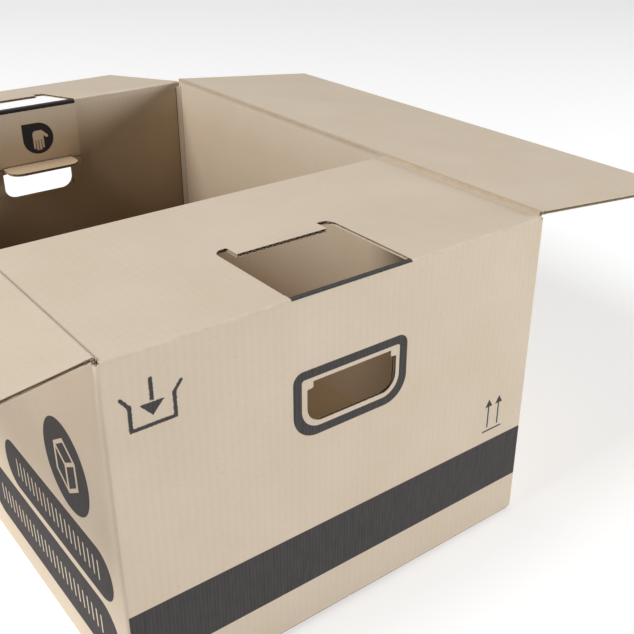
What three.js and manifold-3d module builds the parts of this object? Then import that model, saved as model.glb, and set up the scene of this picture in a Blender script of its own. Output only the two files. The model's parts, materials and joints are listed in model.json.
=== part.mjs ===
// A moving box folded from one sheet of single-wall corrugated board.
//
// Millimetres, +Z up. The origin is on the floor in the middle of the footprint. The near end
// panel faces -Y and the two long sides face -X and +X. The four walls, the folded bottom and
// both handle tongues are one sheet and one mesh. Each top flap is a mesh that turns about the
// middle of its crease, where the board is crushed thin.
import * as THREE from 'three';
import { mergeVertices } from 'three/addons/utils/BufferGeometryUtils.js';
import Module from 'manifold-3d';

const wasm = await Module();
wasm.setup();

// Outside size and board
const LENGTH = 600;            // long sides, along Y
const WIDTH = 400;             // end panels, along X
const HEIGHT = 300;            // floor to the crease of the end flaps
const BOARD = 3;               // thickness of the board
const GAP = 0.3;               // clearance between pieces that lie on each other
const CORNER_RADIUS = 3;       // outside of the upright corners and of the bottom folds
const CORNER_BEAD = 4;         // board pushed up inside each upright corner

// Creases of the top flaps
const CREASE_HALF = 0.5;       // half the thickness of the crushed board on the crease line
const CREASE_REACH = 4.5;      // the crush fades out this far from the crease line
const CREASE_GAP = 0.4;        // clearance between a flap's root and the wall below it
const SLOT = 0.5;              // clearance beside each flap, past the board of its neighbour
const SEAM = 1;                // gap where the two long flaps meet
const FREE_CORNER = 2;         // rounding of the flaps' free corners

// Rest angles of the flaps: 0 is closed and level, 90 is upright
const NEAR_REST_DEG = 0;
const FAR_REST_DEG = 188;
const LEFT_REST_DEG = 188;
const RIGHT_REST_DEG = 185.8;

// Hand holes, their push-in tabs and the tongues that double the board around them
const HAND_X = -1;             // middle of the hand holes and tongues
const HOLE_WIDTH = 85;
const HOLE_BOTTOM = 195.5;     // height of the lower edge of the hole
const HOLE_HEIGHT = 35.5;      // up to the crease of the tab
const HOLE_RADIUS = 14;        // lower corners of the hole
const NECK_WIDTH = 74;         // the hole is narrower beside the root of the tab
const NECK_HEIGHT = 5.5;
const NECK_RADIUS = 1.5;
const TAB_CLEARANCE = 0.5;     // knife cut around the tab
const TONGUE_WIDTH = 110;
const TONGUE_LENGTH = 100;     // from the crease to the ends of its ears
const EAR_WIDTH = 12;
const EAR_RADIUS = 9;          // outer corner of each ear
const EAR_INNER_RADIUS = 2;
const RECESS_CLEARANCE = 1;    // between the tab and the edge of the tongue above it
const WINDOW_LENGTH = 86;      // crease to the straight edge between the ear slots
const WINDOW_CLEARANCE = 0.5;

// Bottom flaps and glue lap
const BOTTOM_FLAP = 200;       // length of the four bottom flaps
const BOTTOM_SEAM = 1.5;       // gap between the two long bottom flaps
const BOTTOM_SEAM_X = 3;       // the seam lies just beside the middle
const LAP_WIDTH = 35;
const LAP_BEVEL = 12;

// Values that follow
const HALF_L = LENGTH / 2;
const HALF_W = WIDTH / 2;
const END_CREASE = HEIGHT;
const LONG_CREASE = HEIGHT + BOARD + GAP;
const FLAP_INSET = BOARD + SLOT;
const LONG_FLAP = HALF_W - BOARD / 2 - SEAM / 2;
const END_FLAP = LONG_FLAP + LONG_CREASE - END_CREASE;
const RING_TOP = END_CREASE - CREASE_REACH;
const FOLD_TOP = 2 * BOARD + CORNER_RADIUS;
const TAB_TOP = HOLE_BOTTOM + HOLE_HEIGHT + BOARD;
const RECESS_HALF = TONGUE_WIDTH / 2 - EAR_WIDTH;

// A closed geometry becomes a solid that can be joined and cut
function solid(geometry) {
  const bare = geometry.clone();
  bare.deleteAttribute('normal');
  bare.deleteAttribute('uv');
  const merged = mergeVertices(bare, 1e-5);
  return new wasm.Manifold(new wasm.Mesh({
    numProp: 3,
    vertProperties: new Float32Array(merged.attributes.position.array),
    triVerts: new Uint32Array(merged.index.array),
  }));
}

function geometryOf(body) {
  const mesh = body.getMesh();
  const geometry = new THREE.BufferGeometry();
  geometry.setAttribute('position', new THREE.BufferAttribute(mesh.vertProperties, 3));
  geometry.setIndex(new THREE.BufferAttribute(mesh.triVerts, 1));
  geometry.computeVertexNormals();
  return geometry;
}

// A shape extruded between two places along one axis
function prism(shape, axis, from, to) {
  const geometry = new THREE.ExtrudeGeometry(shape, {
    depth: to - from,
    bevelEnabled: false,
    curveSegments: 6,
  });
  const X = new THREE.Vector3(1, 0, 0);
  const Y = new THREE.Vector3(0, 1, 0);
  const Z = new THREE.Vector3(0, 0, 1);
  const basis = new THREE.Matrix4();
  if (axis === 'x') {
    basis.makeBasis(Y, Z, X).setPosition(from, 0, 0);
  } else if (axis === 'y') {
    basis.makeBasis(X, Z, Y.clone().negate()).setPosition(0, to, 0);
  } else {
    basis.makeBasis(X, Y, Z).setPosition(0, 0, from);
  }
  geometry.applyMatrix4(basis);
  return solid(geometry);
}

// A closed outline through corners [x, y, radius], with a round at each corner that has a radius
function rounded(corners, path = new THREE.Shape()) {
  const count = corners.length;
  const points = corners.map(([x, y]) => new THREE.Vector2(x, y));
  points.forEach((point, i) => {
    const radius = corners[i][2] ?? 0;
    const before = points[(i + count - 1) % count].clone().sub(point);
    const after = points[(i + 1) % count].clone().sub(point);
    const half = Math.abs(before.angleTo(after)) / 2;
    const reach = radius > 0 ? radius / Math.tan(half) : 0;
    const start = point.clone().add(before.setLength(reach));
    const end = point.clone().add(after.setLength(reach));
    if (i === 0) {
      path.moveTo(start.x, start.y);
    } else {
      path.lineTo(start.x, start.y);
    }
    if (radius > 0) {
      const middle = before.clone().normalize().add(after.clone().normalize());
      const centre = point.clone().add(middle.setLength(radius / Math.sin(half)));
      const turn = before.cross(after) > 0;
      path.absarc(centre.x, centre.y, radius,
        start.sub(centre).angle(), end.sub(centre).angle(), turn);
    }
  });
  path.closePath();
  return path;
}

function join(pieces) {
  return pieces.reduce((all, piece) => all.add(piece));
}

// The four upright walls, with rounded corners outside and the pushed-up board inside
function wallRing() {
  const outline = rounded([
    [-HALF_W, -HALF_L, CORNER_RADIUS],
    [HALF_W, -HALF_L, CORNER_RADIUS],
    [HALF_W, HALF_L, CORNER_RADIUS],
    [-HALF_W, HALF_L, CORNER_RADIUS],
  ]);
  const x = HALF_W - BOARD;
  const y = HALF_L - BOARD;
  const bead = CORNER_BEAD;
  outline.holes.push(rounded([
    [-x, -y + bead], [-x, y - bead], [-x + bead, y], [x - bead, y],
    [x, y - bead], [x, -y + bead], [x - bead, -y], [-x + bead, -y],
  ], new THREE.Path()));
  return prism(outline, 'z', 2 * BOARD, RING_TOP);
}

// A bottom flap with the lower end of its wall: side is the wall's sign, level its underside
function bottomFlap(axis, side, wall, inner, level, halfSpan) {
  const face = side * wall;
  const inside = side * (wall - BOARD);
  const corners = [
    [face, FOLD_TOP], [inside, FOLD_TOP], [inside, level + BOARD],
    [side * inner, level + BOARD], [side * inner, level], [face, level, CORNER_RADIUS],
  ];
  return prism(rounded(side > 0 ? corners : corners.reverse()), axis, -halfSpan, halfSpan);
}

// The top of a wall narrows to its crushed crease
function wallTop(axis, side, wall, crease, halfSpan) {
  const middle = side * (wall - BOARD / 2);
  const half = BOARD / 2;
  const profile = rounded([
    [middle - half, RING_TOP - BOARD], [middle + half, RING_TOP - BOARD],
    [middle + half, crease - CREASE_REACH],
    [middle, crease - CREASE_HALF - CREASE_GAP],
    [middle - half, crease - CREASE_REACH],
  ]);
  return prism(profile, axis, -halfSpan, halfSpan);
}

// The tongue runs over the top of the end wall and lies against its inside
function tongue(side) {
  const face = side * HALF_L;
  const inside = side * (HALF_L - BOARD);
  const end = side * (HALF_L - 2 * BOARD);
  const left = HAND_X - TONGUE_WIDTH / 2;
  const right = HAND_X + TONGUE_WIDTH / 2;
  const top = END_CREASE + BOARD / 2;
  const low = END_CREASE - TONGUE_LENGTH;
  const recess = TAB_TOP + RECESS_CLEARANCE;
  const loop = prism(rounded([
    [face, RING_TOP - BOARD], [end, RING_TOP - BOARD], [end, top, BOARD], [face, top, BOARD],
  ]), 'x', left, right);
  const sheet = prism(rounded([
    [left, top - BOARD], [left, low, EAR_RADIUS],
    [HAND_X - RECESS_HALF, low, EAR_INNER_RADIUS], [HAND_X - RECESS_HALF, recess],
    [HAND_X + RECESS_HALF, recess], [HAND_X + RECESS_HALF, low, EAR_INNER_RADIUS],
    [right, low, EAR_RADIUS], [right, top - BOARD],
  ]), 'y', Math.min(inside, end), Math.max(inside, end));
  return loop.add(sheet);
}

// The hand hole's outline is cut out of the end wall, with a stepped corner beside the tab's root
function handHole(side) {
  const wide = HOLE_WIDTH / 2;
  const neck = NECK_WIDTH / 2;
  const crease = HOLE_BOTTOM + HOLE_HEIGHT;
  const step = crease - NECK_HEIGHT;
  const outline = rounded([
    [HAND_X - wide, HOLE_BOTTOM, HOLE_RADIUS], [HAND_X + wide, HOLE_BOTTOM, HOLE_RADIUS],
    [HAND_X + wide, step, NECK_RADIUS], [HAND_X + neck, step, NECK_RADIUS],
    [HAND_X + neck, crease], [HAND_X - neck, crease],
    [HAND_X - neck, step, NECK_RADIUS], [HAND_X - wide, step, NECK_RADIUS],
  ]);
  const inner = side * (HALF_L - BOARD);
  const outer = side * (HALF_L + BOARD);
  return prism(outline, 'y', Math.min(inner, outer), Math.max(inner, outer));
}

// The tab that was pushed in: level, under the edge of the tongue
function handTab(side) {
  const wide = HOLE_WIDTH / 2 - TAB_CLEARANCE;
  const neck = NECK_WIDTH / 2 - TAB_CLEARANCE;
  const face = HALF_L;
  const step = face - BOARD / 2 - NECK_HEIGHT;
  const free = face - BOARD / 2 - HOLE_HEIGHT;
  const corners = [
    [HAND_X - neck, face], [HAND_X - neck, step], [HAND_X - wide, step, NECK_RADIUS],
    [HAND_X - wide, free, HOLE_RADIUS], [HAND_X + wide, free, HOLE_RADIUS],
    [HAND_X + wide, step, NECK_RADIUS], [HAND_X + neck, step], [HAND_X + neck, face],
  ].map(([x, y, radius]) => [x, side * y, radius]);
  const board = prism(rounded(corners), 'z', TAB_TOP - BOARD, TAB_TOP);
  const bend = rounded([
    [side * face, TAB_TOP - BOARD, BOARD], [side * face, TAB_TOP + BOARD],
    [side * free, TAB_TOP + BOARD], [side * free, TAB_TOP - BOARD],
  ]);
  return board.intersect(prism(bend, 'x', -HALF_W, HALF_W));
}

// The glue lap closes the sleeve inside the far end of the left wall
function glueLap() {
  const low = 2 * BOARD + GAP;
  const high = RING_TOP - LAP_BEVEL;
  const start = HALF_L - BOARD - LAP_WIDTH;
  const end = HALF_L - BOARD;
  const inside = -HALF_W + BOARD;
  const outline = rounded([
    [start, low + LAP_BEVEL], [end, low], [end, high], [start, high - LAP_BEVEL],
  ]);
  return prism(outline, 'x', inside, inside + BOARD);
}

function cartonBody() {
  const endSpan = HALF_W - FLAP_INSET;
  const longSpan = HALF_L - FLAP_INSET;
  const seam = BOTTOM_SEAM_X;
  const pieces = [wallRing(), glueLap()];
  for (const side of [-1, 1]) {
    pieces.push(bottomFlap('y', side, HALF_W, seam * side + BOTTOM_SEAM / 2, 0, longSpan));
    pieces.push(bottomFlap('x', side, HALF_L, HALF_L - BOTTOM_FLAP, BOARD, endSpan));
    pieces.push(wallTop('y', side, HALF_W, LONG_CREASE, longSpan));
    pieces.push(wallTop('x', side, HALF_L, END_CREASE, endSpan));
    pieces.push(tongue(side));
  }
  let body = join(pieces);
  for (const side of [-1, 1]) {
    body = body.subtract(handHole(side)).add(handTab(side));
  }
  return body;
}

// A flap lies level along +Y from its crease, which is the X axis, with its outer face up
function flapBoard(length, halfSpan) {
  const half = BOARD / 2;
  const profile = new THREE.Shape();
  profile.moveTo(CREASE_REACH, -half);
  profile.lineTo(length, -half);
  profile.lineTo(length, half);
  profile.lineTo(CREASE_REACH, half);
  profile.lineTo(0, CREASE_HALF);
  profile.absarc(0, 0, CREASE_HALF, Math.PI / 2, Math.PI * 1.5, false);
  profile.closePath();
  const outline = rounded([
    [-halfSpan, -BOARD], [halfSpan, -BOARD],
    [halfSpan, length, FREE_CORNER], [-halfSpan, length, FREE_CORNER],
  ]);
  return prism(profile, 'x', -halfSpan, halfSpan)
    .intersect(prism(outline, 'z', -BOARD, BOARD));
}

// The window that the tongue leaves in an end flap, with a slot for each ear
function flapWindow(middle) {
  const half = TONGUE_WIDTH / 2 + WINDOW_CLEARANCE;
  const inner = RECESS_HALF - WINDOW_CLEARANCE;
  const ears = TONGUE_LENGTH + WINDOW_CLEARANCE;
  return prism(rounded([
    [middle - half, -BOARD], [middle + half, -BOARD],
    [middle + half, ears, EAR_RADIUS], [middle + inner, ears, EAR_INNER_RADIUS],
    [middle + inner, WINDOW_LENGTH], [middle - inner, WINDOW_LENGTH],
    [middle - inner, ears, EAR_INNER_RADIUS], [middle - half, ears, EAR_RADIUS],
  ]), 'z', -BOARD, BOARD);
}

function endFlap(middle) {
  return flapBoard(END_FLAP, HALF_W - FLAP_INSET).subtract(flapWindow(middle));
}

function longFlap() {
  return flapBoard(LONG_FLAP, HALF_L - FLAP_INSET);
}

const kraft = new THREE.MeshStandardMaterial({ color: 0xcdbba4, roughness: 0.92, metalness: 0 });
const kraftInside = new THREE.MeshStandardMaterial({
  color: 0xc9b59c,
  roughness: 0.94,
  metalness: 0,
});

// Places a flap on its crease: heading turns its free edge towards the middle of the box
function hang(name, body, material, x, y, z, heading, opening) {
  const mesh = new THREE.Mesh(geometryOf(body), material);
  mesh.name = name;
  mesh.rotation.x = THREE.MathUtils.degToRad(opening);
  const turn = new THREE.Group();
  turn.position.set(x, y, z);
  turn.rotation.z = THREE.MathUtils.degToRad(heading);
  turn.add(mesh);
  return turn;
}

const box = new THREE.Group();
const body = new THREE.Mesh(geometryOf(cartonBody()), kraft);
body.name = 'carton_body';
box.add(body);
const endY = HALF_L - BOARD / 2;
const longX = HALF_W - BOARD / 2;
box.add(hang('near_end_flap', endFlap(HAND_X), kraft, 0, -endY, END_CREASE, 0, NEAR_REST_DEG));
box.add(hang('far_end_flap', endFlap(-HAND_X), kraft, 0, endY, END_CREASE, 180, FAR_REST_DEG));
box.add(hang('left_long_flap', longFlap(), kraftInside, -longX, 0, LONG_CREASE, -90, LEFT_REST_DEG));
box.add(hang('right_long_flap', longFlap(), kraftInside, longX, 0, LONG_CREASE, 90, RIGHT_REST_DEG));

export default box;
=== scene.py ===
# A moving box of single-wall kraft corrugated board, with its four top flaps open. The frame
# gives the folded sheet and the flaps; this script gives the board its fluting, its creases,
# its paper and its print.
import json
import math
import random
import bmesh
import bpy
from mathutils import Matrix, Vector


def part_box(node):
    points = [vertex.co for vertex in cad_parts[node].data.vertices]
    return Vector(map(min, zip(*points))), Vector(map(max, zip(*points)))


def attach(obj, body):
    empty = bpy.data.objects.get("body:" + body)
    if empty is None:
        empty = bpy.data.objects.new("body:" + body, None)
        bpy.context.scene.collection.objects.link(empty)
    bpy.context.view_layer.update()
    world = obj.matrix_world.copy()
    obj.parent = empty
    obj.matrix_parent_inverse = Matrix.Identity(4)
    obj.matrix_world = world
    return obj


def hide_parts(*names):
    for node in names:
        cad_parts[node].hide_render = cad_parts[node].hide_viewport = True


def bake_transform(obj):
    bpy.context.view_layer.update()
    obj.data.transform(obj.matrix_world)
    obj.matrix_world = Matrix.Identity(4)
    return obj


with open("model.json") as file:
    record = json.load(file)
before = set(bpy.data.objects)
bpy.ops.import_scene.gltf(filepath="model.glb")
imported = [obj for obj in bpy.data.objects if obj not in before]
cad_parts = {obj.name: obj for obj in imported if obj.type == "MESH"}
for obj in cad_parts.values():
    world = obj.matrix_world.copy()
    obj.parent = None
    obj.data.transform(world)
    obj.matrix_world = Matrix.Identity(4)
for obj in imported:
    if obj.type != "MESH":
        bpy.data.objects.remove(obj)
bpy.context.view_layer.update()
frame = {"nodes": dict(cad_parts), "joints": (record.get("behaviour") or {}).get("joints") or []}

# The board: two flat liners with a wavy medium glued between them. The waves run up and down
# the walls, so their ends show as dark arches wherever a cut crosses them.
MM = 0.001
BOARD = 3.0 * MM
LINER = 0.4 * MM
MEDIUM = 0.55 * MM
PITCH = 6.3 * MM
WAVE_STEPS = 8
TEAR_STEP = 4 * MM
# A torn flute's section, depths and wander are in millimetres.
TEAR_SECTION = ((-1, -1.05), (0.9, -1.05), (0.9, 1.05), (-1, 1.05))
TEAR_DEPTH = (0.5, 1.7)
TEAR_WANDER = 0.12
UP = Vector((0, 0, 1))


def finished_mesh(name, bm):
    """A new object from a bmesh, with its faces pointing outwards."""
    bmesh.ops.recalc_face_normals(bm, faces=bm.faces)
    mesh = bpy.data.meshes.new(name)
    bm.to_mesh(mesh)
    bm.free()
    made = bpy.data.objects.new(name, mesh)
    bpy.context.collection.objects.link(made)
    return made


def moving_corners(grown):
    return [part for part in grown["geom"] if isinstance(part, bmesh.types.BMVert)]


def prism(bm, outline):
    """A prism started on its outline; returns its far corners, which aren't moved yet."""
    face = bm.faces.new([bm.verts.new(corner) for corner in outline])
    return moving_corners(bmesh.ops.extrude_face_region(bm, geom=[face]))


def wave_gap(bm, flip, length):
    """The hollow between the medium and one liner, over one pitch, as a closed prism."""
    top = BOARD / 2 - LINER
    height = top - MEDIUM / 2
    ring = []
    for step in range(1, WAVE_STEPS):
        x = PITCH * step / WAVE_STEPS
        ring.append((x, height * math.cos(2 * math.pi * x / PITCH) + MEDIUM / 2))
    ring.append((ring[-1][0], top))
    ring.append((ring[0][0], top))
    shift = PITCH / 2 if flip else 0
    sign = -1 if flip else 1
    ends = prism(bm, [(x + shift, sign * y, 0) for x, y in ring])
    bmesh.ops.translate(bm, verts=ends, vec=(0, 0, length))


def flute_hollows(middle, across, along, width, length):
    """Cutter for the hollows in a board: middle is on its centre plane where the hollows start."""
    bm = bmesh.new()
    wave_gap(bm, False, length)
    wave_gap(bm, True, length)
    pair = list(bm.verts) + list(bm.edges) + list(bm.faces)
    count = math.ceil(width / PITCH)
    for index in range(1, count):
        moved = moving_corners(bmesh.ops.duplicate(bm, geom=pair))
        bmesh.ops.translate(bm, verts=moved, vec=(index * PITCH, 0, 0))
    bmesh.ops.translate(bm, verts=bm.verts, vec=(-count * PITCH / 2, 0, 0))
    turn = Matrix((across, along.cross(across), along)).transposed().to_4x4()
    bmesh.ops.transform(bm, matrix=Matrix.Translation(middle) @ turn, verts=bm.verts)
    return bm


def torn_channel(start, along, inward, length):
    """Cutter for a cut that runs with the flutes and leaves one of them ragged and open."""
    bm = bmesh.new()
    ragged = random.Random(round(start.length * 1e6))
    up = along.cross(inward)
    low = start - along * TEAR_STEP
    section = [low + (inward * deep + up * high) * MM for deep, high in TEAR_SECTION]
    face = bm.faces.new([bm.verts.new(corner) for corner in section])
    for step in range(math.ceil(length / TEAR_STEP) + 1):
        grown = bmesh.ops.extrude_face_region(bm, geom=[face])["geom"]
        if step > 0:
            bmesh.ops.delete(bm, geom=[face], context="FACES_ONLY")
        face = next(part for part in grown if isinstance(part, bmesh.types.BMFace))
        for corner in face.verts:
            deep = (corner.co - start).dot(inward)
            corner.co += along * TEAR_STEP
            if deep > 0:
                wanted = ragged.uniform(*TEAR_DEPTH) * MM
                wander = ragged.uniform(-TEAR_WANDER, TEAR_WANDER)
                corner.co += inward * (wanted - deep) + up * wander * MM
    return bm


def corrugated(name, node, cutters):
    """The node's board with its fluting cut out, standing for the node."""
    bm = bmesh.new()
    bm.from_mesh(frame["nodes"][node].data)
    bmesh.ops.remove_doubles(bm, verts=bm.verts, dist=1e-6)
    board = bpy.data.meshes.new(name)
    bm.to_mesh(board)
    bm.free()
    piece = bpy.data.objects.new(name, board)
    bpy.context.collection.objects.link(piece)
    for index, cutter in enumerate(cutters):
        tool = finished_mesh(f"{name}_cutter_{index}", cutter)
        cut = piece.modifiers.new("fluting", "BOOLEAN")
        cut.operation = "DIFFERENCE"
        cut.solver = "MANIFOLD"
        cut.object = tool
        fluted = bpy.data.meshes.new_from_object(
            piece.evaluated_get(bpy.context.evaluated_depsgraph_get()))
        piece.modifiers.clear()
        piece.data = fluted
        bpy.data.objects.remove(tool)
    piece.data.name = name
    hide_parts(node)
    return piece


class Wire:
    """One number in a shader. Python's operators on it add Math nodes to its material."""

    def __init__(self, finish, socket):
        self.finish = finish
        self.socket = socket

    def math(self, operation, *others):
        values = dict(enumerate([self, *others]))
        return self.finish.node("ShaderNodeMath", {"operation": operation}, values)

    def __add__(self, other):
        return self.math("ADD", other)

    def __sub__(self, other):
        return self.math("SUBTRACT", other)

    def __rsub__(self, other):
        return self.math("MULTIPLY_ADD", -1.0, other)

    def __mul__(self, other):
        return self.math("MULTIPLY", other)

    def __truediv__(self, other):
        return self.math("DIVIDE", other)

    def __neg__(self):
        return self.math("MULTIPLY", -1.0)

    def __abs__(self):
        return self.math("ABSOLUTE")

    def larger(self, other):
        return self.math("MAXIMUM", other)

    def smaller(self, other):
        return self.math("MINIMUM", other)

    def above(self, limit):
        return self.math("GREATER_THAN", limit)

    def below(self, limit):
        return self.math("LESS_THAN", limit)

    def held(self):
        return self.larger(0.0).smaller(1.0)

    __radd__ = __add__
    __rmul__ = __mul__


class Finish:
    """A material under construction."""

    def __init__(self, name):
        self.material = bpy.data.materials.new(name)
        self.material.use_nodes = True
        self.tree = self.material.node_tree
        self.shader = self.tree.nodes["Principled BSDF"]

    def feed(self, socket, value):
        if isinstance(value, Wire):
            self.tree.links.new(value.socket, socket)
        else:
            socket.default_value = value

    def node(self, kind, settings=None, values=None, output=0):
        made = self.tree.nodes.new(kind)
        for setting, value in (settings or {}).items():
            setattr(made, setting, value)
        for key, value in (values or {}).items():
            self.feed(made.inputs[key], value)
        return Wire(self, made.outputs[output])

    def surface(self, name, value):
        self.feed(self.shader.inputs[name], value)

    def place(self):
        """Object coordinates, as three numbers in metres."""
        where = self.node("ShaderNodeTexCoord", output="Object")
        split = {"Vector": where}
        return where, [self.node("ShaderNodeSeparateXYZ", {}, split, axis) for axis in "XYZ"]

    def facing(self):
        """How far the surface faces along X and along Y."""
        normal = self.node("ShaderNodeTexCoord", output="Normal")
        split = {"Vector": normal}
        return [self.node("ShaderNodeSeparateXYZ", {}, split, axis) for axis in "XY"]

    def mix(self, share, first, second):
        return self.node("ShaderNodeMix", {"data_type": "RGBA"}, {0: share, 6: first, 7: second}, 2)

    def noise(self, where, stretch, scale, detail=3.0, rough=0.55):
        spread = self.node("ShaderNodeMapping", {}, {"Vector": where, "Scale": stretch})
        return self.node("ShaderNodeTexNoise", {}, {
            "Vector": spread, "Scale": scale, "Detail": detail, "Roughness": rough})


def paint(red, green, blue):
    """A colour given as it looks on a screen, 0 to 255."""
    return tuple(((value / 255 + 0.055) / 1.055) ** 2.4 for value in (red, green, blue)) + (1.0,)


KRAFT = paint(214, 199, 179)
KRAFT_DARK = paint(196, 178, 154)
KRAFT_PALE = paint(225, 212, 195)
FLECK = paint(160, 136, 108)
# The next two colours: a slightly browner inner liner mixed with painted shade, then a deeper
# painted shade for low inside the box and for the inner corners.
INNER_LINER_AND_SHADE = paint(178, 144, 98)
PAINTED_SHADE = paint(100, 72, 38)
# The cut board's core: partly the medium's own brown, partly painted shade in the flute hollows.
CORE_TONE_AND_SHADE = paint(112, 86, 56)
CORE_HALF = 1.1 * MM
CORE_SHARE = 0.7
WASHBOARD = 0.06 * MM
CLOUD_SCALE = 14.0
FIBRE_SCALE = 420.0
FIBRE_STRETCH = 0.35
FLECK_SCALE = 700.0
FLECK_RARITY = 0.72


def kraft_paper(finish, across, where, stretch):
    """Kraft liner: mottled, flecked with fibres, with the flutes just telling through."""
    ridge = (across * (2 * math.pi / PITCH)).math("SINE")
    cloud = finish.noise(where, (1, 1, 1), CLOUD_SCALE, 4.0)
    fibre = finish.noise(where, stretch, FIBRE_SCALE, 4.0, 0.7)
    fleck = finish.noise(where, stretch, FLECK_SCALE, 1.0)
    tone = (cloud - 0.5) * 0.9 + (fibre - 0.5) * 0.55 + ridge * 0.05 + 0.42
    colour = finish.mix(tone.held(), KRAFT_DARK, KRAFT_PALE)
    colour = finish.mix(0.55, colour, KRAFT)
    spots = ((fleck - FLECK_RARITY) * 9.0).held() * 0.4
    colour = finish.mix(spots, colour, FLECK)
    height = ridge * 0.5 + (fibre - 0.5) * 0.7
    bump = finish.node("ShaderNodeBump", {}, {
        "Strength": 0.5, "Distance": WASHBOARD, "Height": height})
    finish.surface("Normal", bump)
    finish.surface("Roughness", (fibre * 0.12 + 0.82).held())
    finish.surface("Specular IOR Level", 0.25)
    return colour


def bare_kraft(name, across_axis):
    """Unprinted kraft so far, with its flutes counted along one axis, X 0 or Y 1."""
    finish = Finish(name)
    where, axes = finish.place()
    stretch = (FIBRE_STRETCH, 1, 1) if across_axis == 0 else (1, FIBRE_STRETCH, 1)
    return finish, where, axes, kraft_paper(finish, axes[across_axis], where, stretch)


def plain_kraft(name, across_axis, crease=None):
    """Unprinted board; a flap, which has a crease, also has a darker core: partly the medium's
    brown, partly painted shade in its flute hollows.
    """
    finish, where, axes, colour = bare_kraft(name, across_axis)
    if crease:
        face = crease.axis.cross(crease.along)
        other = 1 - across_axis
        level = axes[other] * face[other] + axes[2] * face.z - face.dot(crease.middle)
        core = (abs(level) - CORE_HALF).below(0.0)
        colour = finish.mix(core * CORE_SHARE, colour, CORE_TONE_AND_SHADE)
    finish.surface("Base Color", colour)
    return finish.material


# The four top flaps, cut and creased from the same sheet as the walls. Each free edge and each
# window edge crosses the flutes; the side edges run along them.
hinges = {joint["child"]: joint for joint in frame["joints"]}
CRUSHED = 6 * MM
INSET = 3.5 * MM
WINDOW_REACH = 88 * MM


class Crease:
    """Where a flap joins its wall, and how the flap lies at rest."""

    def __init__(self, flap):
        joint = hinges[flap]
        self.flap = flap
        self.axis = Vector(joint["axis"])
        self.middle = Vector(joint["pos_m"])
        self.inward = UP.cross(self.axis)
        self.angle = -math.radians(joint["range_deg"][0])
        self.along = Matrix.Rotation(self.angle, 3, self.axis) @ self.inward

    def point(self, offset):
        """The place that lies inward and up from the middle of the crease."""
        return self.middle + self.inward * offset[0] + UP * offset[1]


def flap_board(name, node, crease, width, length, across_axis, window=None):
    """The fluted board of one flap, with torn flutes along its side and window edges."""
    start = crease.middle + crease.along * CRUSHED
    cutters = [flute_hollows(start, crease.axis, crease.along, width, length)]
    edge = width / 2 - INSET
    sides = [(-edge, 1, length), (edge, -1, length)]
    if window:
        sides += [(window[0], -1, WINDOW_REACH), (window[1], 1, WINDOW_REACH)]
    for place, turn, reach in sides:
        at = start + crease.axis * place
        cutters.append(torn_channel(at, crease.along, crease.axis * turn, reach))
    piece = corrugated(name, node, cutters)
    piece.data.materials.clear()
    piece.data.materials.append(plain_kraft(f"kraft_on_{name}", across_axis, crease))
    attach(piece, crease.flap)
    return piece


creases = {flap: Crease(flap) for flap in ("near_flap", "far_flap", "left_flap", "right_flap")}
END_WIDTH = 400 * MM
SIDE_WIDTH = 600 * MM
REACH = 220 * MM
near, far = creases["near_flap"], creases["far_flap"]
left, right = creases["left_flap"], creases["right_flap"]
near_window = (-56.5 * MM, 54.5 * MM)
far_window = (-54.5 * MM, 56.5 * MM)
flap_board("near_end_board", "near_end_flap", near, END_WIDTH, REACH, 0, near_window)
flap_board("far_end_board", "far_end_flap", far, END_WIDTH, REACH, 0, far_window)
flap_board("left_long_board", "left_long_flap", left, SIDE_WIDTH, REACH, 1)
flap_board("right_long_board", "right_long_flap", right, SIDE_WIDTH, REACH, 1)

# The folded sheet: four walls, bottom flaps, glue lap, and at each end the tongue that runs
# over the wall's top and the tab pushed in under it. Flutes show where holes cut the walls.
body_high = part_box("carton_body")[1]
HALF_W = body_high.x
HALF_L = body_high.y
HAND_X = -1 * MM
HOLE_SIDE = 60 * MM
HOLE_TOP = 231 * MM
HOLE_MARGIN = 1 * MM
TAB_MIDDLE = HOLE_TOP + BOARD / 2
TAB_ROOT = 9 * MM
TAB_REACH = 50 * MM
TAB_WIDTH = 90 * MM
TONGUE_END = 190 * MM
TONGUE_TOP = 292 * MM
FLOOR_GAP = 12 * MM
INNER_FLAP_END = 100 * MM
INNER_FLAP_WIDTH = 380 * MM
INNER_FLAP_START = 15 * MM
INNER_FLAP_REACH = 20 * MM
across_x = Vector((1, 0, 0))
body_cutters = []
for side in (-1, 1):
    inward = Vector((0, -side, 0))
    wall = Vector((HAND_X, side * (HALF_L - BOARD / 2), FLOOR_GAP))
    tongue = Vector((HAND_X, side * (HALF_L - BOARD * 1.5), TONGUE_END))
    tab = Vector((HAND_X, side * (HALF_L - TAB_ROOT), TAB_MIDDLE))
    inner_flap = Vector((0, side * (INNER_FLAP_END + INNER_FLAP_START), BOARD * 1.5))
    body_cutters += [
        flute_hollows(wall, across_x, UP, 2 * HOLE_SIDE, HOLE_TOP - HOLE_MARGIN - FLOOR_GAP),
        flute_hollows(tongue, across_x, UP, 2 * HOLE_SIDE, TONGUE_TOP - TONGUE_END),
        flute_hollows(tab, across_x, inward, TAB_WIDTH, TAB_REACH),
        flute_hollows(inner_flap, across_x, inward, INNER_FLAP_WIDTH, INNER_FLAP_REACH),
    ]
carton = corrugated("folded_carton", "carton_body", body_cutters)
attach(carton, "carton")

# The print, in one dark ink on the outside of the walls and on the tongues: a ring round each
# hand hole, a broad band, an upright mark, a carton mark, and a disc over two bars on the long
# sides. The tongues carry a hand mark.
INK = paint(60, 57, 58)
INK_THIN = paint(84, 80, 79)
# Darker ink for the tongues, which face in: painted shade.
INK_SHADED = paint(38, 33, 32)
INK_EDGE = 0.35 * MM


def covered(distance):
    """Ink where the distance is below zero, with a slightly soft edge."""
    return (distance * (-1 / INK_EDGE) + 0.5).held()


def either(*distances):
    result = distances[0]
    for other in distances[1:]:
        result = result.smaller(other)
    return result


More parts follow.
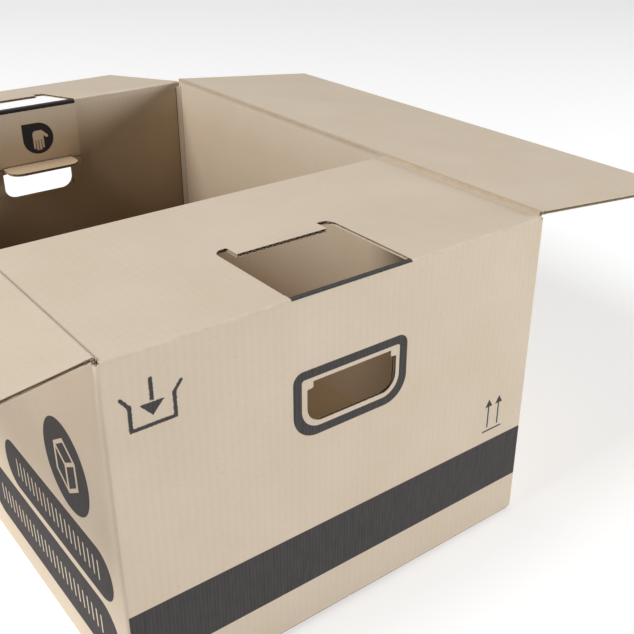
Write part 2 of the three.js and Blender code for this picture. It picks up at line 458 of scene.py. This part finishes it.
def block(u, v, centre, half, radius=0.0):
    """Distance from a rectangle with rounded corners."""
    qu = abs(u - centre[0] * MM) - (half[0] - radius) * MM
    qv = abs(v - centre[1] * MM) - (half[1] - radius) * MM
    outside = (qu.larger(0.0).math("POWER", 2.0) + qv.larger(0.0).math("POWER", 2.0)).math("SQRT")
    return outside + qu.larger(qv).smaller(0.0) - radius * MM


def disc(u, v, centre, radius):
    du = u - centre[0] * MM
    dv = v - centre[1] * MM
    return (du * du + dv * dv).math("SQRT") - radius * MM


def stroke(u, v, start, end, half):
    """Distance from a straight line with round ends."""
    span = (end[0] - start[0], end[1] - start[1])
    square = span[0] ** 2 + span[1] ** 2
    du = u - start[0] * MM
    dv = v - start[1] * MM
    share = ((du * span[0] + dv * span[1]) / (square * MM)).held()
    return disc(du - share * (span[0] * MM), dv - share * (span[1] * MM), (0, 0), half)


# The print's places are in millimetres from the middle of its wall and from the floor. A ring
# edge has its half sizes, then the radius of its upper and of its lower corners.
RING_CENTRE = (-1.7, 212.9)
RING_SPLIT = 213
RING_OUTER = ((54.3, 28.8), 9, 22)
RING_INNER = ((46.6, 21.4), 2.5, 17)
BAND_CENTRE = (0, 71)
BAND_HALF = (198, 26.7)
ARROWS_AT = 160.2
ARROW_ASIDE = 6.2
ARROW_BARB = 134.4
ARROW_TIP = 142
STAMP_AT = -165
STAMP_SIDE = 16
STAMP_LOW = 246
STAMP_RIM = 264
DISC_CENTRE = (-224.5, 183.5)
DISC_RADIUS = 38
DISC_LINE = 1.6
DISC_DRAWING = (
    ((0, 206), (17, 195)), ((17, 195), (17, 173)), ((17, 173), (0, 162)),
    ((0, 185), (17, 195)), ((0, 185), (0, 162)))
# A bar has its far end, its upper and its lower edge, and its near end.
BARS = ((-81.5, 137, 91, -284), (-20, 84, 27.5, -284))
TICK_PITCH = 8
TICK_HALF = 1.0
TICK_REACH = 9
DROP_AT = 262.5
DROP_RADIUS = 18.5
DROP_CORNER = (-9.25, 271.75)
HAND_MARK_X = 4


def ring_edge(x, z, half, upper_radius, lower_radius):
    upper = block(x, z, RING_CENTRE, half, upper_radius)
    lower = block(x, z, RING_CENTRE, half, lower_radius)
    return upper + (lower - upper) * z.below(RING_SPLIT * MM)


def ring_print(x, z):
    """A band round the hand hole with tight upper and wide lower corners."""
    return ring_edge(x, z, *RING_OUTER).larger(-ring_edge(x, z, *RING_INNER))


def upright_mark(u, z):
    """Two arrows standing on a line."""
    fold = abs(u - ARROWS_AT * MM)
    shaft = block(fold, z, (ARROW_ASIDE, 125), (0.85, 12.2))
    wing = abs(fold - ARROW_ASIDE * MM)
    head = (wing * 1.7 + (z - ARROW_TIP * MM)).larger(ARROW_BARB * MM - z)
    return either(block(u, z, (ARROWS_AT, 109.3), (11.8, 0.8)), shaft, head)


def carton_mark(u, z, rough):
    """An open carton with an arrow into it, stamped a little unevenly."""
    fold = abs(u - STAMP_AT * MM)
    wall = stroke(fold, z, (STAMP_SIDE, STAMP_LOW), (STAMP_SIDE, STAMP_RIM), 1.5)
    base = block(fold, z, (0, STAMP_LOW), (STAMP_SIDE, 1.5))
    flap = stroke(fold, z, (STAMP_SIDE, STAMP_RIM), (21.5, 271), 1.3)
    shaft = block(fold, z, (0, 272), (1.5, 8.5))
    head = (fold * 1.1 + (252.5 * MM - z)).larger(z - 262.5 * MM)
    return either(wall, base, flap, shaft, head) + rough


def disc_print(v, z):
    """A disc that holds a plain carton seen from its corner."""
    plate = disc(v, z, DISC_CENTRE, DISC_RADIUS)
    fold = abs(v - DISC_CENTRE[0] * MM)
    edges = either(*(stroke(fold, z, start, end, DISC_LINE) for start, end in DISC_DRAWING))
    return plate.larger(-edges)


def bar_print(v, z, far, high, low, near):
    """A bar with round ends and a scale of plain ticks."""
    half = (high - low) / 2
    middle = (high + low) / 2
    bar = block(v, z, ((far + near) / 2, middle), ((far - near) / 2, half), half - 0.5)
    step = (v / (TICK_PITCH * MM)).math("FRACT") - 0.5
    tick_width = abs(step) * (TICK_PITCH * MM) - TICK_HALF * MM
    tick = tick_width.larger(abs(z - middle * MM) - TICK_REACH * MM)
    stop = abs(v - (far + near) / 2 * MM) - ((far - near) / 2 - half) * MM
    return bar.larger(-tick.larger(stop))


def hand_mark(u, z):
    """A dark drop with one square corner that holds an open hand, fingers down."""
    corner = block(u, z, DROP_CORNER, (DROP_RADIUS / 2, DROP_RADIUS / 2))
    drop = either(disc(u, z, (0, DROP_AT), DROP_RADIUS), corner)
    fold = abs(u)
    hand = either(
        block(u, z, (0, 266), (6.6, 5.6), 4.5),
        stroke(fold, z, (1.75, 263), (1.75, 249.5), 1.35),
        stroke(fold, z, (5.2, 263), (5.2, 251.5), 1.3),
        stroke(u, z, (4, 270), (10.5, 264), 1.7))
    return drop.larger(-hand)


FACING = 0.6
LINER_DEPTH = 1 * MM
RIM_TOP, RIM_REACH = 296 * MM, 40 * MM
SHADE_TOP, SHADE_REACH = 290 * MM, 200 * MM
# Where the painted shade lines beside each inner corner strip lie.
CREASE_SHADE_FROM, CREASE_SHADE_TO = 4.05 * MM, 5.4 * MM
PRINT_DEPTH = 0.4 * MM
ROOT_BASE = 296.5 * MM
ROOT_HALF = 55.2 * MM
ROOT_BACK = 0.3 * MM
STAMP_GRAIN = 900.0
STAMP_ROUGH = 2.4 * MM
INK_GRAIN = 260.0


def carton_material():
    finish = Finish("printed_kraft")
    where, (x, y, z) = finish.place()
    nx, ny = finish.facing()
    end_face = abs(ny).above(FACING)
    side_face = abs(nx).above(FACING)
    across = y + (x - y) * end_face
    colour = kraft_paper(finish, across, where, (0.45, 0.45, 1))
    # Inside the walls a slightly browner liner is mixed with painted shade, with deeper painted
    # shade further down; the cut board shows its darker core, the medium's brown with painted shade
    # in the flute hollows.
    inside = abs(x).below(HALF_W - LINER_DEPTH) * abs(y).below(HALF_L - LINER_DEPTH)
    depth = ((SHADE_TOP - z) * (1 / SHADE_REACH)).held().math("POWER", 1.8)
    rim = ((RIM_TOP - z) * (1 / RIM_REACH)).held()
    # Painted shade: it grows downward from the rim, is halved on the long side walls, which the
    # lamps light more, and deepens further towards the floor.
    shade = inside * (1.0 - side_face * 0.5)
    colour = finish.mix(shade * (rim * 0.45 + 0.1), colour, INNER_LINER_AND_SHADE)
    colour = finish.mix(inside * (depth * 0.75), colour, PAINTED_SHADE)
    # Painted shade lines run beside the strip in each inner corner.
    corner = (HALF_W - abs(x)) + (HALF_L - abs(y)) - 2 * BOARD
    crease_shade = corner.above(CREASE_SHADE_FROM) * corner.below(CREASE_SHADE_TO) * inside
    colour = finish.mix(crease_shade * 0.6, colour, PAINTED_SHADE)
    in_wall = abs(abs(y) - (HALF_L - BOARD / 2))
    in_tongue = abs(abs(y) - (HALF_L - BOARD * 1.5))
    in_tab = abs(z - TAB_MIDDLE).larger(abs(y) - (HALF_L - 2 * BOARD))
    core = (in_wall.smaller(in_tongue).smaller(in_tab) - CORE_HALF).below(0.0)
    colour = finish.mix(core * abs(x).below(HOLE_SIDE) * CORE_SHARE, colour, CORE_TONE_AND_SHADE)
    # From outside, each end and each long side reads the same way round.
    near = y.below(0.0)
    left = x.below(0.0)
    end_u = x * (near * 2.0 - 1.0)
    side_v = y * (left * 2.0 - 1.0)
    outside_end = abs(y).above(HALF_L - PRINT_DEPTH) * end_face
    outside_side = abs(x).above(HALF_W - PRINT_DEPTH) * side_face
    inside_tongue = abs(y).below(HALF_L - 1.8 * BOARD) * abs(y).above(HALF_L - 2.2 * BOARD)
    rough = (finish.noise(where, (1, 1, 1), STAMP_GRAIN, 2.0) - 0.5) * STAMP_ROUGH
    end_ink = covered(either(
        ring_print(x, z), block(end_u, z, BAND_CENTRE, BAND_HALF), upright_mark(end_u, z),
        carton_mark(end_u, z, rough)))
    bars = (bar_print(side_v, z, *bar) for bar in BARS)
    side_ink = covered(either(disc_print(side_v, z), *bars))
    tongue_ink = covered(hand_mark(end_u * -1.0 - HAND_MARK_X * MM, z))
    root = z.above(ROOT_BASE) * (abs(x - HAND_X) - ROOT_HALF).below(0.0)
    root = root * abs(y).below(HALF_L - ROOT_BACK)
    ink = (end_ink * outside_end).larger(side_ink * outside_side)
    ink = ink.larger(tongue_ink * inside_tongue * end_face).larger(root)
    ridge = (across * (4 * math.pi / PITCH)).math("SINE") * 0.5 + 0.5
    patchy = finish.noise(where, (1, 1, 0.2), INK_GRAIN, 3.0)
    thin = (ridge * 0.3 + (patchy - 0.35) * 0.9).held()
    ink_colour = finish.mix(thin, INK, INK_THIN)
    # The ink on the tongues is darkened with painted shade.
    ink_colour = finish.mix(inside_tongue, ink_colour, INK_SHADED)
    finish.surface("Base Color", finish.mix(ink, colour, ink_colour))
    return finish.material


carton.data.materials.clear()
carton.data.materials.append(carton_material())

# The creases: over each crushed line the paper runs on from wall to flap, outside and inside.
# A skin of liner paper bends there, shaped for the flap's rest angle.
SKIN = 0.3 * MM
PROUD = 0.04 * MM
SKIN_REACH = 6.5 * MM
SOFT_BEND = 2.4 * MM
PRESSED_BEND = 0.8 * MM
TIGHT_BEND = 0.4 * MM
BEND_STEPS = 9
# Pale patches along the folds: partly rubbed wear, partly a painted highlight.
RUBBED_AND_HIGHLIGHT = paint(240, 228, 212)
RUBBED_AND_HIGHLIGHT_REACH = 2.0 * MM
# A brown band of painted shade along the right flap's fold.
FOLD_SHADE = paint(158, 134, 104)
FOLD_SHADE_REACH = 5.0 * MM
PATCH_SCALE = 75.0


def bend_path(crease, face, depth):
    """Points across a crease, from the wall to the flap, as (inward, up) offsets from its line."""
    out = BOARD / 2 + PROUD - depth
    along = Vector((math.cos(crease.angle), math.sin(crease.angle)))
    outer = Vector((-along.y, along.x))
    wall_x = -out if face == "outer" else out
    offset = outer * (out if face == "outer" else -out)
    start = Vector((wall_x, -SKIN_REACH))
    end = along * SKIN_REACH + offset
    reach = (wall_x - offset.x) / along.x
    corner = offset + along * reach
    before = (start - corner).normalized()
    after = (end - corner).normalized()
    half = before.angle(after) / 2
    convex = (face == "outer") == (crease.angle < math.pi / 2)
    soft = PRESSED_BEND if crease.flap == "right_flap" else SOFT_BEND
    radius = soft - depth if convex else TIGHT_BEND + depth
    centre = corner + (before + after).normalized() * (radius / math.sin(half))
    first = corner + before * (radius / math.tan(half)) - centre
    last = corner + after * (radius / math.tan(half)) - centre
    points = [start]
    for step in range(BEND_STEPS + 1):
        points.append(centre + first.slerp(last, step / BEND_STEPS) * radius)
    return points + [end]


def fold_kraft_wear_light_shade(name, across_axis, point, crease_shade):
    """Kraft along a fold, through a point: pale patches, partly rubbed wear and partly a painted
    highlight, or a brown band of painted shade.
    """
    finish, where, axes, colour = bare_kraft(name, across_axis)
    side = axes[1 - across_axis] - point[1 - across_axis]
    up = axes[2] - point.z
    away = (side * side + up * up).math("SQRT")
    patch = ((finish.noise(where, (1, 1, 1), PATCH_SCALE, 5.0) - 0.42) * 4.0).held()
    if crease_shade:
        tone, reach, share = FOLD_SHADE, FOLD_SHADE_REACH, patch * 0.15 + 0.5
    else:
        tone, reach, share = RUBBED_AND_HIGHLIGHT, RUBBED_AND_HIGHLIGHT_REACH, patch * 0.38
    fold_wear_light_shade = (away * (-1 / reach) + 1.1).held() * share
    finish.surface("Base Color", finish.mix(fold_wear_light_shade, colour, tone))
    return finish.material


def crease_skin(name, crease, face, spans, material):
    """The bending paper on one side of a crease, over the given stretches of its length."""
    path = bend_path(crease, face, 0.0)
    ring = path + bend_path(crease, face, SKIN)[::-1]
    bm = bmesh.new()
    for low, high in spans:
        section = [crease.point(offset) + crease.axis * low for offset in ring]
        bmesh.ops.translate(bm, verts=prism(bm, section), vec=crease.axis * (high - low))
    piece = finished_mesh(name, bm)
    piece.data.materials.append(material)
    # The two points at the middle of the bend are worked out but not used; the skin stays whole and
    # fixed in place.
    middle = len(path) // 2
    start = crease.point(path[middle - 1])
    end = crease.point(path[middle])
    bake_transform(piece)


TONGUE_HALF = 55.1 * MM
end_kraft = plain_kraft("kraft_at_end_creases", 0)
side_kraft = plain_kraft("kraft_at_long_creases", 1)
for flap, crease in creases.items():
    at_end = flap in ("near_flap", "far_flap")
    edge = (HALF_W if at_end else HALF_L) - INSET
    spans = [(-edge, edge)]
    if at_end:
        shift = HAND_X * crease.axis.x
        spans = [(-edge, shift - TONGUE_HALF), (shift + TONGUE_HALF, edge)]
    for face in ("outer", "inner"):
        paper = end_kraft if at_end else side_kraft
        if (face == "outer") == (crease.angle < math.pi / 2):
            fold = crease.point(bend_path(crease, face, 0.0)[BEND_STEPS // 2 + 1])
            # The right flap's fold gets painted shade; the others get pale patches of wear and
            # painted highlight.
            crease_shade = flap == "right_flap"
            paper = fold_kraft_wear_light_shade(f"worn_{flap}", 0 if at_end else 1, fold, crease_shade)
        crease_skin(f"{flap}_{face}_crease", crease, face, spans, paper)

# At each corner the slot between two flaps ends in a ragged lip of paper, where the cut stops
# on the folded edge of the walls.
LIP_BASE = 295.5 * MM
LIP_THICK = 2.4 * MM
LIP_STEPS = 6
LIP_TAIL = 0.16
LIP_RISE = (3.4, 5.2)
ragged = random.Random(12)
turns = [math.pi / 2 * step / LIP_STEPS for step in range(LIP_STEPS + 1)]
arcs = [Vector((math.sin(turn), math.cos(turn))) for turn in turns]
arcs = [Vector((-LIP_TAIL, 1)), *arcs, Vector((1, -LIP_TAIL))]
offsets = [arc * BOARD for arc in arcs] + [arc * (BOARD - LIP_THICK) for arc in arcs[::-1]]
bm = bmesh.new()
for sign_x in (-1, 1):
    for sign_y in (-1, 1):
        section = []
        for offset in offsets:
            x = sign_x * (HALF_W - BOARD + offset.x)
            y = sign_y * (HALF_L - BOARD + offset.y)
            section.append((x, y, LIP_BASE))
        for top in prism(bm, section):
            top.co.z += ragged.uniform(*LIP_RISE) * MM
corner_lips = finished_mesh("corner_lips", bm)
corner_lips.data.materials.append(end_kraft)
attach(corner_lips, "carton")

# A strip of plain brown tape under the floor holds the two long bottom flaps together, and
# closes the seam between them.
TAPE_X = 3 * MM
TAPE_WIDTH = 50 * MM
TAPE_LENGTH = 580 * MM
TAPE_THICK = 0.06 * MM
TAPE_GLUE = 0.02 * MM
bm = bmesh.new()
bmesh.ops.create_cube(bm, size=1.0)
bmesh.ops.scale(bm, verts=bm.verts, vec=(TAPE_WIDTH, TAPE_LENGTH, TAPE_THICK))
bmesh.ops.translate(bm, verts=bm.verts, vec=(TAPE_X, 0, -TAPE_THICK / 2 - TAPE_GLUE))
tape = finished_mesh("bottom_tape", bm)
film = Finish("brown_tape")
where, axes = film.place()
bubbles = film.noise(where, (1, 1, 1), 160.0, 3.0)
film.surface("Base Color", film.mix(bubbles, paint(150, 112, 70), paint(168, 130, 86)))
film.surface("Roughness", 0.35)
tape.data.materials.append(film.material)
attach(tape, "carton")

# A plain pale studio: a wide floor that glows a little, a surround that lights the box dimly
# but looks white, and two broad soft lamps.
FLOOR_SIZE = 30.0
FLOOR_DROP = 0.5 * MM
FLOOR_GLOW = 0.52
AIR_LIGHT = 0.13
WHITE = (1, 1, 1, 1)
bm = bmesh.new()
bmesh.ops.create_grid(bm, x_segments=1, y_segments=1, size=FLOOR_SIZE)
floor = finished_mesh("studio_floor", bm)
floor.data.transform(Matrix.Translation((0, 0, -FLOOR_DROP)))
studio = Finish("studio_white")
studio.surface("Base Color", paint(205, 205, 205))
studio.surface("Roughness", 0.9)
studio.surface("Emission Color", WHITE)
studio.surface("Emission Strength", FLOOR_GLOW)
floor.data.materials.append(studio.material)

world = bpy.data.worlds.new("studio")
bpy.context.scene.world = world
world.use_nodes = True
sky = world.node_tree.nodes
links = world.node_tree.links
soft = sky["Background"]
soft.inputs["Color"].default_value = WHITE
soft.inputs["Strength"].default_value = AIR_LIGHT
white = sky.new("ShaderNodeBackground")
white.inputs["Color"].default_value = WHITE
ray = sky.new("ShaderNodeLightPath")
seen = ray.outputs["Is Camera Ray"]
for kind in ("Is Glossy Ray", "Is Transmission Ray"):
    also = sky.new("ShaderNodeMath")
    also.operation = "MAXIMUM"
    links.new(seen, also.inputs[0])
    links.new(ray.outputs[kind], also.inputs[1])
    seen = also.outputs[0]
pick = sky.new("ShaderNodeMixShader")
links.new(seen, pick.inputs[0])
links.new(soft.outputs[0], pick.inputs[1])
links.new(white.outputs[0], pick.inputs[2])
links.new(pick.outputs[0], sky["World Output"].inputs["Surface"])


def lamp(name, place, aim, size, watts):
    light = bpy.data.lights.new(name, "AREA")
    light.shape = "DISK"
    light.size = size
    light.energy = watts
    made = bpy.data.objects.new(name, light)
    bpy.context.collection.objects.link(made)
    made.location = place
    made.rotation_euler = (Vector(aim) - Vector(place)).to_track_quat("-Z", "Y").to_euler()


lamp("front_lamp", (2.5, -1.9, 1.0), aim=(0.1, -0.3, 0.15), size=1.1, watts=59)
lamp("top_lamp", (-3.0, 0.4, 3.0), aim=(0, 0, 0.2), size=2.0, watts=176)

# The camera stands where the photograph was taken from, in front of the near left corner and
# above it. Its place, turn and lens were fitted to the box's edges.
camera_data = bpy.data.cameras.new("camera")
camera = bpy.data.objects.new("camera", camera_data)
bpy.context.collection.objects.link(camera)
camera_data.sensor_width = 36
camera_data.lens = 52.947
camera_right = Vector((0.79672, -0.60435, 0.00003))
camera_down = Vector((-0.27699, -0.36520, -0.88876))
camera_back = Vector((-0.53713, -0.70809, 0.45837))
turn = Matrix((camera_right, -camera_down, camera_back)).transposed().to_4x4()
camera.matrix_world = Matrix.Translation((-0.38265, -0.75860, 0.57863)) @ turn
bpy.context.scene.camera = camera
bpy.context.scene.view_settings.view_transform = "Standard"
